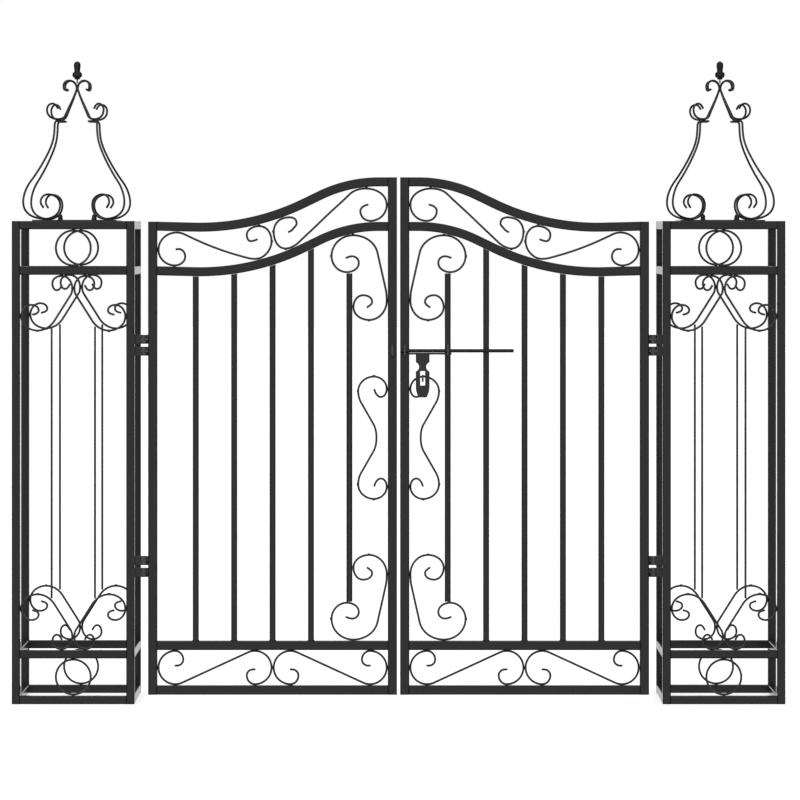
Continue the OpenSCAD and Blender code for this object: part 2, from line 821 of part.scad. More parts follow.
// Left side
on_pillar(0) pillar_posts();  // left_pillar_posts
on_pillar(0) pillar_rails();  // left_pillar_rails
on_pillar(0) pillar_rings();  // left_pillar_rings
on_pillar(0) pillar_uprights();  // left_pillar_uprights
on_pillar(0) corner_scrolls();  // left_pillar_top_scrolls
on_pillar(0) pillar_bottom_scrolls();  // left_pillar_bottom_scrolls
on_pillar(0) finial_bar();  // left_finial_bar
on_pillar(0) finial_base();  // left_finial_base
on_pillar(0) finial_scrolls();  // left_finial_scrolls
on_pillar(0) finial_crown();  // left_finial_crown
on_pillar(0) finial_tip();  // left_finial_tip
on_gate(0) pillar_hinges();  // left_pillar_hinges
on_gate(0) hinge_stile();  // left_hinge_stile
on_gate(0) meeting_stile();  // left_meeting_stile
on_gate(0) lower_rails();  // left_lower_rails
on_gate(0) curved_rail(top_rail_z);  // left_top_rail
on_gate(0) curved_rail(arched_rail_z);  // left_arched_rail
on_gate(0) pickets();  // left_pickets
on_gate(0) top_band_scrolls();  // left_top_band_scrolls
on_gate(0) bottom_band_scrolls();  // left_bottom_band_scrolls
on_gate(0) lock_scrolls();  // left_lock_scrolls
on_gate(0) leaf_hinges();  // left_leaf_hinges

// Right side
on_pillar(1) pillar_posts();  // right_pillar_posts
on_pillar(1) pillar_rails();  // right_pillar_rails
on_pillar(1) pillar_rings();  // right_pillar_rings
on_pillar(1) pillar_uprights();  // right_pillar_uprights
on_pillar(1) corner_scrolls();  // right_pillar_top_scrolls
on_pillar(1) pillar_bottom_scrolls();  // right_pillar_bottom_scrolls
on_pillar(1) finial_bar();  // right_finial_bar
on_pillar(1) finial_base();  // right_finial_base
on_pillar(1) finial_scrolls();  // right_finial_scrolls
on_pillar(1) finial_crown();  // right_finial_crown
on_pillar(1) finial_tip();  // right_finial_tip
on_gate(1) pillar_hinges();  // right_pillar_hinges
on_gate(1) hinge_stile();  // right_hinge_stile
on_gate(1) meeting_stile();  // right_meeting_stile
on_gate(1) lower_rails();  // right_lower_rails
on_gate(1) curved_rail(top_rail_z);  // right_top_rail
on_gate(1) curved_rail(arched_rail_z);  // right_arched_rail
on_gate(1) pickets();  // right_pickets
on_gate(1) top_band_scrolls();  // right_top_band_scrolls
on_gate(1) bottom_band_scrolls();  // right_bottom_band_scrolls
on_gate(1) lock_scrolls();  // right_lock_scrolls
on_gate(1) leaf_hinges();  // right_leaf_hinges

// Bolt
on_gate(0) bolt_keeper();  // left_bolt_keeper
on_gate(0) bolt_staples();  // right_bolt_staples
on_gate(0) sliding_bolt();
on_gate(0) bolt_hasp();
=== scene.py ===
"""Looks of a wrought iron garden gate: two leaves between two open pillars with scroll finials.

Everything is in metres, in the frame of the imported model: X across the gate, Y to the back, Z up.
"""
import math
import random

import bmesh
import bpy
from mathutils import Matrix, Vector


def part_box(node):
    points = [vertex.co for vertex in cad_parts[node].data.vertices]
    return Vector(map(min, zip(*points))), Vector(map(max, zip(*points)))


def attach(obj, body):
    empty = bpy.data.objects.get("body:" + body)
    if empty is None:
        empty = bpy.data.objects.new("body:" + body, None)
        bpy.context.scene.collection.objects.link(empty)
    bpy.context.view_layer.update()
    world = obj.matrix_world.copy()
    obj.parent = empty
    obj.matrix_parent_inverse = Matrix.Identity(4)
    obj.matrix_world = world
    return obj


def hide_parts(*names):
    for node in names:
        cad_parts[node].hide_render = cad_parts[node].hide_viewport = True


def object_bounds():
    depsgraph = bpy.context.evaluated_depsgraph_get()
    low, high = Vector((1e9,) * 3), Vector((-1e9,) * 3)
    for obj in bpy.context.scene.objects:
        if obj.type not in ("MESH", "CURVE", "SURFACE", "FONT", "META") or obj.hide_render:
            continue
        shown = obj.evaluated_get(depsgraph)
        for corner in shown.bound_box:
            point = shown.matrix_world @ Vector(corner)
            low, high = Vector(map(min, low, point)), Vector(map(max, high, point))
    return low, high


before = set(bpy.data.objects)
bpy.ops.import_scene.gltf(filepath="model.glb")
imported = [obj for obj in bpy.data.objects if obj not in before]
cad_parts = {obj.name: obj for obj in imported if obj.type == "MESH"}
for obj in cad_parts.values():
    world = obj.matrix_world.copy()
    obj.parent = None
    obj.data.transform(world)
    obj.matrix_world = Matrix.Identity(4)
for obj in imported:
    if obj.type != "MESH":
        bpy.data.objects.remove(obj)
cad_low, cad_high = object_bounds()

# Sizes shared with the part, in metres
MM = 0.001
ROD_R = 1.5 * MM
WELD_GAP = 0.2 * MM
LEAF_TUBE = 14.5 * MM
PICKET_W = 9.5 * MM
TUBE_CORNER = 2 * MM
PICKET_SPACES = 6
LOCK_SCROLL_H = 136.6 * MM
MIDDLE_SCROLL_H = 196 * MM
MIDDLE_W = 45 * MM
MIDDLE_SCROLL_Z = 420 * MM
TOP_BAND_H = 55.8 * MM
DIP = math.radians(1.4)
RISE = math.radians(25.8)
HOLLOW_R = 376 * MM
CROWN_R = 210 * MM
SLOPE_L = 30 * MM
FLAT_L = 14.6 * MM

# Radius the rods are drawn with: thin rods look bolder in the photo than they are
ROD_SHOWN_R = 1.72 * MM

# How finely the bent rods and rails are drawn
BEND_STEP = 4
LEAST_BEND_STEPS = 6
ROD_SIDES = 14
CORNER_STEPS = 5
RAIL_STEP = math.radians(1.5)

LEFT = "left"
RIGHT = "right"
SIDES = (LEFT, RIGHT)
gate_x = (cad_low.x + cad_high.x) / 2

# Scrolls as knots of [across share, up share, heading in degrees]
CORNER_SCROLL = [
    (0.80, 0.836, 240), (0.70, 0.739, 180), (0.61, 0.864, 90), (0.79, 1, 0), (1, 0.778, -90),
    (0.97, 0.653, -122), (0.655, 0.187, -122), (0.32, 0, -180), (0, 0.26, -270),
    (0.20, 0.47, -360), (0.34, 0.37, -450), (0.21, 0.29, -530),
]
HINGE_BAND = [
    (0.15, 0.48, 25), (0.18, 0.50, 0), (0.236, 0.28, -90), (0.14, 0, -180), (0, 0.46, -270),
    (0.165, 1, -360), (0.23, 0.95, -384.4), (0.747, 0.16, -384.4), (0.888, 0, -360),
    (1, 0.41, -270), (0.858, 1, -180), (0.781, 0.81, -90), (0.827, 0.58, 0), (0.878, 0.60, 20),
]
MEETING_BAND = [
    (0.127, 0.50, 25), (0.167, 0.54, 45), (0.203, 0.67, 90), (0.073, 1, 180), (0, 0.69, 270),
    (0.155, 0, 360), (0.22, 0.046, 387), (0.441, 0.418, 388.6), (0.672, 0.90, 397.6),
    (0.78, 1, 360), (1, 0.48, 270), (0.862, 0, 180), (0.767, 0.33, 90), (0.84, 0.50, 5),
]
BOTTOM_BAND_HALF = [
    (0.141, 0.557, 0), (0.163, 0.557, 0), (0.219, 0.74, 90), (0.148, 1, 180),
    (0, 0.5, 270), (0.148, 0, 360), (0.209, 0.045, 384.7),
]
LOCK_SCROLL = [
    (0.40, 0.855, -40), (0.56, 0.785, -90), (0.29, 0.708, -180), (0, 0.848, -270),
    (0.47, 1, -360), (1, 0.775, -450), (0.97, 0.638, -462.4), (0.725, 0.21, -462.4),
    (-0.01, 0, -540), (-0.66, 0.245, -630), (-0.20, 0.435, -720), (0.16, 0.324, -810),
    (-0.04, 0.248, -900), (-0.24, 0.27, -922),
]
MIDDLE_SCROLL_HALF = [
    (0.56, 0.80, -75), (0.65, 0.705, -50), (0.79, 0.667, 0), (1, 0.80, 90), (0.55, 1, 180),
    (0, 0.76, 270), (0.112, 0.566, 300.5), (0.53, 0.227, 300.5), (0.64, 0, 270),
]
FINIAL_SCROLL = [
    (0.625, 0.11, 60), (0.68, 0.17, 90), (0.54, 0.25, 180), (0.32, 0.14, 270), (0.60, 0, 360),
    (1, 0.17, 450), (0.93, 0.32, 482), (0.78, 0.445, 491), (0.58, 0.63, 484), (0.45, 0.805, 468),
    (0.42, 0.965, 453), (0.38, 1, 540), (0.23, 1, 540),
]
CROWN_SCROLL = [
    (0.64, 0.26, 70), (0.82, 0.395, 0), (1, 0.23, -90), (0.68, 0, -180), (0.40, 0.10, -240),
    (0.04, 0.73, -245), (0.02, 0.80, -270), (0.255, 1, -360), (0.455, 0.86, -450),
    (0.40, 0.755, -540), (0.335, 0.79, -610),
]


# Curves

def placed(shares, low, size):
    """Knots given as shares, placed in a box from its low corner."""
    return [(low[0] + a * size[0], low[1] + b * size[1], math.radians(h)) for a, b, h in shares]


def half_turned(shares):
    """The second half of a curve that is its own image when turned by half a turn."""
    return [(1 - a, 1 - b, h) for a, b, h in reversed(shares)]


def turned_over(shares):
    """The second half of a curve that is its own image in its level middle line."""
    return [(a, -b, 540 - h) for a, b, h in reversed(shares[:-1])]


def curve_points(knots):
    """Points of a smooth curve through knots of (across, up, heading)."""
    points = []
    for (ax, az, ah), (bx, bz, bh) in zip(knots, knots[1:]):
        turn = bh - ah
        reach = math.hypot(bx - ax, bz - az) / (3 * math.cos(turn / 4) ** 2)
        start = Vector((ax, az))
        end = Vector((bx, bz))
        first = start + reach * Vector((math.cos(ah), math.sin(ah)))
        second = end - reach * Vector((math.cos(bh), math.sin(bh)))
        count = max(LEAST_BEND_STEPS, math.ceil(abs(math.degrees(turn)) / BEND_STEP))
        for i in range(count):
            t = i / count
            u = 1 - t
            points.append(u ** 3 * start + 3 * u * u * t * first + 3 * u * t * t * second + t ** 3 * end)
    points.append(Vector(knots[-1][:2]))
    return points


def in_plane(points, y):
    """Points of (across, up) in the upright plane at y."""
    return [Vector((p.x, y, p.y)) for p in points]


def across_mirror(points, x):
    """Points mirrored in the upright plane at x."""
    return [Vector((2 * x - p.x, p.y, p.z)) for p in points]


def level_mirror(points, z):
    """Points mirrored in the level plane at z."""
    return [Vector((p.x, p.y, 2 * z - p.z)) for p in points]


def about_axis(points, centre, angle):
    """Points turned about the upright line through centre."""
    turn = Matrix.Rotation(angle, 3, "Z")
    return [centre + turn @ p for p in points]


# Node trees that make the bent rods and the welds

def new_group(name, sockets):
    """A geometry tree with its sockets and its group nodes."""
    tree = bpy.data.node_groups.new(name, "GeometryNodeTree")
    tree.interface.new_socket(name="Geometry", in_out="INPUT", socket_type="NodeSocketGeometry")
    for socket_name, socket_type in sockets:
        tree.interface.new_socket(name=socket_name, in_out="INPUT", socket_type=socket_type)
    tree.interface.new_socket(name="Geometry", in_out="OUTPUT", socket_type="NodeSocketGeometry")
    return tree, tree.nodes.new("NodeGroupInput"), tree.nodes.new("NodeGroupOutput")


def finish_group(tree, given, result, mesh_socket):
    """Shades the mesh smooth, realizes it, gives it its coating and sends it out."""
    smooth = tree.nodes.new("GeometryNodeSetShadeSmooth")
    real = tree.nodes.new("GeometryNodeRealizeInstances")
    coat = tree.nodes.new("GeometryNodeSetMaterial")
    tree.links.new(mesh_socket, real.inputs["Geometry"])
    tree.links.new(real.outputs["Geometry"], smooth.inputs["Geometry"])
    tree.links.new(smooth.outputs["Geometry"], coat.inputs["Geometry"])
    tree.links.new(given.outputs["Coating"], coat.inputs["Material"])
    tree.links.new(coat.outputs["Geometry"], result.inputs["Geometry"])


def build_rod_tree():
    """A tree that turns chains of edges into round rods."""
    tree, given, result = new_group("bent_rods", [
        ("Rod radius", "NodeSocketFloat"), ("Sides", "NodeSocketInt"), ("Coating", "NodeSocketMaterial"),
    ])
    chain = tree.nodes.new("GeometryNodeMeshToCurve")
    girth = tree.nodes.new("GeometryNodeInputNamedAttribute")
    girth.data_type = "FLOAT"
    girth.inputs["Name"].default_value = "girth"
    swell = tree.nodes.new("GeometryNodeSetCurveRadius")
    section = tree.nodes.new("GeometryNodeCurvePrimitiveCircle")
    sweep = tree.nodes.new("GeometryNodeCurveToMesh")
    sweep.inputs["Fill Caps"].default_value = True
    tree.links.new(given.outputs["Geometry"], chain.inputs["Mesh"])
    tree.links.new(chain.outputs["Curve"], swell.inputs["Curve"])
    tree.links.new(girth.outputs["Attribute"], swell.inputs["Radius"])
    tree.links.new(given.outputs["Sides"], section.inputs["Resolution"])
    tree.links.new(given.outputs["Rod radius"], section.inputs["Radius"])
    tree.links.new(swell.outputs["Curve"], sweep.inputs["Curve"])
    tree.links.new(section.outputs["Curve"], sweep.inputs["Profile Curve"])
    if "Scale" in sweep.inputs:
        tree.links.new(girth.outputs["Attribute"], sweep.inputs["Scale"])
    finish_group(tree, given, result, sweep.outputs["Mesh"])
    return tree


def build_scatter_tree():
    """A tree that sets one shape on every point, turned and sized by the point."""
    tree, given, result = new_group("set_on_points", [
        ("Shape", "NodeSocketObject"), ("Coating", "NodeSocketMaterial"),
    ])
    shape = tree.nodes.new("GeometryNodeObjectInfo")
    turn = tree.nodes.new("GeometryNodeInputNamedAttribute")
    turn.data_type = "FLOAT_VECTOR"
    turn.inputs["Name"].default_value = "turn"
    size = tree.nodes.new("GeometryNodeInputNamedAttribute")
    size.data_type = "FLOAT_VECTOR"
    size.inputs["Name"].default_value = "size"
    spread = tree.nodes.new("GeometryNodeInstanceOnPoints")
    tree.links.new(given.outputs["Shape"], shape.inputs["Object"])
    tree.links.new(given.outputs["Geometry"], spread.inputs["Points"])
    tree.links.new(shape.outputs["Geometry"], spread.inputs["Instance"])
    tree.links.new(turn.outputs["Attribute"], spread.inputs["Rotation"])
    tree.links.new(size.outputs["Attribute"], spread.inputs["Scale"])
    finish_group(tree, given, result, spread.outputs["Instances"])
    return tree


def made_mesh(name, source, tree, values):
    """Runs a tree on a mesh and returns the result as a plain object at the origin."""
    drawn = bpy.data.objects.new(name + "_path", source)
    bpy.context.scene.collection.objects.link(drawn)
    modifier = drawn.modifiers.new("make", "NODES")
    modifier.node_group = tree
    for item in tree.interface.items_tree:
        if item.in_out == "INPUT" and item.name in values:
            modifier[item.identifier] = values[item.name]
    graph = bpy.context.evaluated_depsgraph_get()
    mesh = bpy.data.meshes.new_from_object(drawn.evaluated_get(graph))
    bpy.data.objects.remove(drawn, do_unlink=True)
    mesh.name = name
    piece = bpy.data.objects.new(name, mesh)
    bpy.context.scene.collection.objects.link(piece)
    tidy = bmesh.new()
    tidy.from_mesh(mesh)
    bmesh.ops.recalc_face_normals(tidy, faces=tidy.faces)
    tidy.to_mesh(mesh)
    tidy.free()
    return piece


ROD_TREE = build_rod_tree()
SCATTER_TREE = build_scatter_tree()

# A rod's rounded end: steps along it and girths, and how far inside no other point stands
END_PROFILE = ((0, 0.35), (0.06, 0.55), (0.22, 0.8), (0.5, 0.95))
END_CLEAR = 0.8 * ROD_R


def rounded_ends(points):
    """Points and girths of a rod whose cut ends are rounded."""
    chain = []
    for step, girth in END_PROFILE:
        way = (points[1] - points[0]).normalized()
        chain.append((points[0] + way * step * ROD_R, girth))
    for p in points[1:-1]:
        if min((p - points[0]).length, (p - points[-1]).length) > END_CLEAR:
            chain.append((p, 1))
    for step, girth in reversed(END_PROFILE):
        way = (points[-2] - points[-1]).normalized()
        chain.append((points[-1] + way * step * ROD_R, girth))
    return chain


def rods(name, strokes, coating, closed=False):
    """One object of round rods along the strokes."""
    source = bpy.data.meshes.new(name + "_chains")
    verts = []
    edges = []
    girth_values = []
    for stroke in strokes:
        chain = [(p, 1) for p in stroke] if closed else rounded_ends(stroke)
        first = len(verts)
        for point, girth in chain:
            verts.append(point)
            girth_values.append(girth)
        edges += [(first + i, first + i + 1) for i in range(len(chain) - 1)]
        if closed:
            edges.append((first + len(chain) - 1, first))
    source.from_pydata(verts, edges, [])
    layer = source.attributes.new("girth", "FLOAT", "POINT")
    layer.data.foreach_set("value", girth_values)
    values = {"Rod radius": ROD_SHOWN_R, "Sides": ROD_SIDES, "Coating": coating}
    return made_mesh(name, source, ROD_TREE, values)


def scattered(name, shape, places, coating):
    """One object of copies of a shape at places of (point, turn, size)."""
    source = bpy.data.meshes.new(name + "_points")
    source.from_pydata([p for p, _, _ in places], [], [])
    for label, values in (("turn", [t for _, t, _ in places]), ("size", [s for _, _, s in places])):
        layer = source.attributes.new(label, "FLOAT_VECTOR", "POINT")
        layer.data.foreach_set("vector", [c for v in values for c in v])
    return made_mesh(name, source, SCATTER_TREE, {"Shape": shape, "Coating": coating})


# Coatings: how fine and how deep the grain, pits, patches and streaks are
PEEL_SCALE = 620
PEEL_STRENGTH = 0.22
PEEL_DEPTH = 0.12 * MM
PIT_SCALE = 420
PIT_DEPTH = 0.4 * MM
PATCH_SCALE = 38
STREAK_FINE = 260
STREAK_LONG = 3
STREAK_SHARE = 0.45
PLAIN_SHARE = 0.15
UNEVEN_RANGE = (0.3, 0.7)
TONE_RANGE = (0.3, 0.72)
TONE_SPREAD = (0.78, 1.25)
DUST_FROM = 0.35
DUST_MOST = 0.22
DUST_TONE = (0.085, 0.083, 0.08, 1)
COAT_IOR = 1.5


def coating(name, base, streak_axis=None, grain=1.0, rough=(0.17, 0.27), pitted=0.0):
    """Satin black powder coat with a fine orange peel, a little dust and faint drawing streaks."""
    material = bpy.data.materials.new(name)
    material.use_nodes = True
    tree = material.node_tree
    nodes = tree.nodes
    links = tree.links
    shader = nodes["Principled BSDF"]
    where = nodes.new("ShaderNodeTexCoord")

    peel = nodes.new("ShaderNodeTexNoise")
    peel.inputs["Scale"].default_value = PEEL_SCALE / grain
    peel.inputs["Detail"].default_value = 2
    links.new(where.outputs["Object"], peel.inputs["Vector"])
    bumps = nodes.new("ShaderNodeBump")
    bumps.inputs["Strength"].default_value = PEEL_STRENGTH
    bumps.inputs["Distance"].default_value = PEEL_DEPTH * grain
    links.new(peel.outputs["Fac"], bumps.inputs["Height"])
    normal = bumps.outputs["Normal"]

    if pitted:
        pits = nodes.new("ShaderNodeTexVoronoi")
        pits.inputs["Scale"].default_value = PIT_SCALE
        links.new(where.outputs["Object"], pits.inputs["Vector"])
        cast = nodes.new("ShaderNodeBump")
        cast.inputs["Strength"].default_value = pitted
        cast.inputs["Distance"].default_value = PIT_DEPTH
        links.new(pits.outputs["Distance"], cast.inputs["Height"])
        links.new(normal, cast.inputs["Normal"])
        normal = cast.outputs["Normal"]

    patches = nodes.new("ShaderNodeTexNoise")
    patches.inputs["Scale"].default_value = PATCH_SCALE
    patches.inputs["Detail"].default_value = 4
    links.new(where.outputs["Object"], patches.inputs["Vector"])

    stretch = nodes.new("ShaderNodeMapping")
    scale = [STREAK_FINE, STREAK_FINE, STREAK_FINE]
    if streak_axis is not None:
        scale[streak_axis] = STREAK_LONG
    stretch.inputs["Scale"].default_value = scale
    links.new(where.outputs["Object"], stretch.inputs["Vector"])
    streaks = nodes.new("ShaderNodeTexNoise")
    streaks.inputs["Scale"].default_value = 1
    streaks.inputs["Detail"].default_value = 3
    links.new(stretch.outputs["Vector"], streaks.inputs["Vector"])

    uneven = nodes.new("ShaderNodeMix")
    uneven.data_type = "FLOAT"
    uneven.inputs["Factor"].default_value = PLAIN_SHARE if streak_axis is None else STREAK_SHARE
    links.new(patches.outputs["Fac"], uneven.inputs[2])
    links.new(streaks.outputs["Fac"], uneven.inputs[3])

    sheen = nodes.new("ShaderNodeMapRange")
    sheen.inputs["From Min"].default_value = UNEVEN_RANGE[0]
    sheen.inputs["From Max"].default_value = UNEVEN_RANGE[1]
    sheen.inputs["To Min"].default_value = rough[0]
    sheen.inputs["To Max"].default_value = rough[1]
    links.new(uneven.outputs[0], sheen.inputs["Value"])

    tone = nodes.new("ShaderNodeValToRGB")
    for stop, position, spread in zip(tone.color_ramp.elements, TONE_RANGE, TONE_SPREAD):
        stop.position = position
        stop.color = [c * spread for c in base] + [1]
    links.new(uneven.outputs[0], tone.inputs["Fac"])

    # Faces that look up hold a little dust
    facing = nodes.new("ShaderNodeNewGeometry")
    split = nodes.new("ShaderNodeSeparateXYZ")
    links.new(facing.outputs["Normal"], split.inputs["Vector"])
    upward = nodes.new("ShaderNodeMapRange")
    upward.inputs["From Min"].default_value = DUST_FROM
    upward.inputs["To Max"].default_value = DUST_MOST
    links.new(split.outputs["Z"], upward.inputs["Value"])
    settled = nodes.new("ShaderNodeMath")
    settled.operation = "MULTIPLY"
    links.new(upward.outputs["Result"], settled.inputs[0])
    links.new(patches.outputs["Fac"], settled.inputs[1])
    dusty = nodes.new("ShaderNodeMix")
    dusty.data_type = "RGBA"
    links.new(settled.outputs["Value"], dusty.inputs["Factor"])
    links.new(tone.outputs["Color"], dusty.inputs[6])
    dusty.inputs[7].default_value = DUST_TONE

    links.new(dusty.outputs[2], shader.inputs["Base Color"])
    links.new(sheen.outputs["Result"], shader.inputs["Roughness"])
    links.new(normal, shader.inputs["Normal"])
    shader.inputs["Metallic"].default_value = 0
    shader.inputs["IOR"].default_value = COAT_IOR
    return material


TUBE_BLACK = (0.0105, 0.0105, 0.011)
CAST_BLACK = (0.012, 0.012, 0.0125)
ROD_BLACK = (0.042, 0.042, 0.043)
FITTING_BLACK = (0.02, 0.02, 0.021)
# A lighter black for the hinge knuckles, the bolt keeper and the staples: a painted highlight of the
# light they catch
PAINTED_HIGHLIGHT_BLACK = (0.085, 0.085, 0.087)
upright_coat = coating("powder_coat_upright_tubes", TUBE_BLACK, streak_axis=2)
level_coat = coating("powder_coat_level_tubes", TUBE_BLACK, streak_axis=0)
plate_coat = coating("powder_coat_plate", TUBE_BLACK)
rod_coat = coating("powder_coat_rods", ROD_BLACK, grain=0.8)
fitting_coat = coating("powder_coat_fittings", FITTING_BLACK, grain=0.7, rough=(0.22, 0.34))
cast_coat = coating("powder_coat_castings", CAST_BLACK, rough=(0.28, 0.42), pitted=0.25)
# Coat of the hinge knuckles, the keeper and the staples, made lighter as a painted highlight
painted_highlight_coat = coating("powder_coat_painted_highlight_loops", PAINTED_HIGHLIGHT_BLACK, grain=0.7)
weld_coat = coating("powder_coat_welds", CAST_BLACK, grain=1.6, rough=(0.3, 0.45), pitted=0.2)


def hand_over(piece, body, slot_name, *nodes):
    """Gives a piece its body and lets it stand for its nodes by hiding them; the slot name is not used.
    """
    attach(piece, body)
    if nodes:
        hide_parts(*nodes)
    return piece


def body_of_side(side):
    return side + "_leaf"


def sided(side, points):
    """Points drawn for the left half, on the asked side of the gate."""
    return points if side == LEFT else across_mirror(points, gate_x)


# Welds where the rods touch the tubes and each other

TOUCH = 0.02 * MM
BEAD_LONG = 2.5 * MM
BEAD_WIDE = 1.25 * MM
BEAD_HIGH = 1.1 * MM
BEAD_SPREAD = 0.18
BEAD_RIPPLE = 0.05
RIPPLE_ALONG = 9
RIPPLE_UP = 4
WELD_SEED = 7
QUARTER_TURN = math.radians(90)


def bead_shape():
    """A small uneven weld bead, long along X."""
    lump = bmesh.new()
    bmesh.ops.create_icosphere(lump, subdivisions=2, radius=1)
    for vert in lump.verts:
        x, y, z = vert.co
        swell = 1 + BEAD_RIPPLE * math.sin(RIPPLE_ALONG * x + RIPPLE_UP * z)
        vert.co = (x * BEAD_LONG, y * BEAD_WIDE * swell, z * BEAD_HIGH * swell)
    for face in lump.faces:
        face.smooth = True
    mesh = bpy.data.meshes.new("bead_shape")
    lump.to_mesh(mesh)
    lump.free()
    shape = bpy.data.objects.new("bead_shape", mesh)
    bpy.context.scene.collection.objects.link(shape)
    return shape


def bead(point, turn):
    """A place for a bead, its size a little uneven."""
    spread = [1 + BEAD_SPREAD * wobble.uniform(-1, 1) for _ in range(3)]
    return (point, turn, tuple(spread))


def touch_beads(flat, stroke):
    """Beads where a flat curve reaches its own box's sides, set on the stroke drawn from it."""
    low = (min(p[0] for p in flat), min(p[1] for p in flat))
    high = (max(p[0] for p in flat), max(p[1] for p in flat))
    places = []
    for i in range(1, len(flat) - 1):
        for axis in (0, 1):
            here = flat[i][axis]
            beside = (flat[i - 1][axis], flat[i + 1][axis])
            for bound, way in ((low[axis], -1), (high[axis], 1)):
                is_peak = way * here > way * beside[0] and way * here >= way * beside[1]
                if abs(here - bound) < TOUCH and is_peak:
                    out = Vector((way * ROD_R, 0, 0)) if axis == 0 else Vector((0, 0, way * ROD_R))
                    turn = (0, QUARTER_TURN, 0) if axis == 0 else (0, 0, 0)
                    places.append(bead(stroke[i] + out, turn))
    return places


def stroke_beads(strokes):
    """Beads of strokes that lie in upright planes along the gate."""
    places = []
    for stroke in strokes:
        places += touch_beads([(p.x, p.z) for p in stroke], stroke)
    return places


wobble = random.Random(WELD_SEED)
weld_bead = bead_shape()
pillar_beads = {LEFT: [], RIGHT: []}
leaf_beads = {LEFT: [], RIGHT: []}


# Pillars: scrolls in the panels, rings, and the finial's scrolls

def corner_scroll_strokes(node, upside_down):
    """Two mirrored scrolls within the node's box, on its front and on its back."""
    low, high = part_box(node)
    middle = (low.x + high.x) / 2
    start = (low.x + ROD_R, low.z + ROD_R)
    size = (middle - WELD_GAP - ROD_R - start[0], high.z - low.z - 2 * ROD_R)
    outline = curve_points(placed(CORNER_SCROLL, start, size))
    strokes = []
    for y in (low.y + ROD_R, high.y - ROD_R):
        scroll = in_plane(outline, y)
        if upside_down:
            scroll = level_mirror(scroll, (low.z + high.z) / 2)
        strokes.append(scroll)
        strokes.append(across_mirror(scroll, middle))
    return strokes


RING_STEPS = 96


def ring_strokes(node):
    """The lower and upper ring of the node's box, on its front and on its back."""
    low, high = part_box(node)
    radius = (high.x - low.x) / 2
    middle = (low.x + high.x) / 2
    angles = [math.tau * i / RING_STEPS for i in range(RING_STEPS)]
    strokes = []
    for y in (low.y + ROD_R, high.y - ROD_R):
        for z in (low.z + radius, high.z - radius):
            ring = []
            for angle in angles:
                across = (radius - ROD_R) * math.cos(angle)
                up = (radius - ROD_R) * math.sin(angle)
                ring.append(Vector((middle + across, y, z + up)))
            strokes.append(ring)
    return strokes


UPRIGHT_STEPS = 8


def upright_strokes(node):
    """The thin upright rods at the four corners of the node's box."""
    low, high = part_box(node)
    heights = [low.z + (high.z - low.z) * i / UPRIGHT_STEPS for i in range(UPRIGHT_STEPS + 1)]
    strokes = []
    for x in (low.x + ROD_R, high.x - ROD_R):
        for y in (low.y + ROD_R, high.y - ROD_R):
            strokes.append([Vector((x, y, z)) for z in heights])
    return strokes


# Share of its box that the crown fills upward
CROWN_SHARE = 0.966


def diagonal_strokes(node, shares, height_share=1):
    """Four scrolls in the two diagonal planes, within the node's box."""
    low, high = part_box(node)
    reach = (high.x - low.x) / 2 * math.sqrt(2) - 2 * ROD_R
    height = (high.z - low.z - 2 * ROD_R) * height_share
    drawn = in_plane(curve_points(placed(shares, (0, 0), (reach, height))), 0)
    centre = Vector(((low.x + high.x) / 2, (low.y + high.y) / 2, low.z + ROD_R))
    return [about_axis(drawn, centre, math.radians(45 + 90 * i)) for i in range(4)]


for side in SIDES:
    for word, upside_down in (("top", False), ("bottom", True)):
        node = side + "_pillar_" + word + "_scrolls"
        strokes = corner_scroll_strokes(node, upside_down)
        pillar_beads[side] += stroke_beads(strokes)
        piece = rods(node + "_rods", strokes, rod_coat)
        hand_over(piece, "pillars", "black_rod", node)
    node = side + "_pillar_uprights"
    piece = rods(side + "_upright_rods", upright_strokes(node), rod_coat)
    hand_over(piece, "pillars", "black_rod", node)
    node = side + "_pillar_rings"
    piece = rods(side + "_ring_rods", ring_strokes(node), rod_coat, closed=True)
    hand_over(piece, "pillars", "black_rod", node)
    for ring in ring_strokes(node):
        middle = (min(p.x for p in ring) + max(p.x for p in ring)) / 2
        for z in (min(p.z for p in ring) - ROD_R, max(p.z for p in ring) + ROD_R):
            pillar_beads[side].append(bead(Vector((middle, ring[0].y, z)), (0, 0, 0)))
    node = side + "_finial_scrolls"
    piece = rods(side + "_finial_rods", diagonal_strokes(node, FINIAL_SCROLL), rod_coat)
    hand_over(piece, "pillars", "black_rod", node)
    node = side + "_finial_crown"
    piece = rods(side + "_crown_rods", diagonal_strokes(node, CROWN_SCROLL, CROWN_SHARE), rod_coat)
    hand_over(piece, "pillars", "black_rod", node)


# The cast bud on each finial: (height share, radius share, depth of the petals)
BUD_PROFILE = [
    (0.0, 0.14, 0), (0.10, 0.14, 0), (0.165, 0.16, 0), (0.175, 0.50, 0), (0.19, 0.56, 0),
    (0.235, 0.56, 0), (0.25, 0.62, 0.02), (0.267, 0.80, 0.05), (0.29, 0.92, 0.08),
    (0.33, 0.98, 0.1), (0.38, 1.0, 0.1), (0.43, 0.99, 0.09), (0.47, 0.93, 0.09),
    (0.495, 0.82, 0.07), (0.51, 0.70, 0.03), (0.53, 0.62, 0.02),
    (0.57, 0.62, 0.06), (0.63, 0.64, 0.08), (0.70, 0.68, 0.08), (0.77, 0.72, 0.08),
    (0.83, 0.74, 0.08), (0.88, 0.70, 0.08), (0.92, 0.62, 0.07), (0.955, 0.48, 0.05),
    (0.98, 0.32, 0.02), (0.995, 0.14, 0),
]
BUD_STEPS = 72
BUD_LOBES = 8
BUD_WAIST = 0.52
PROFILE_STEPS = 3
PETAL_DEPTH = 1.9


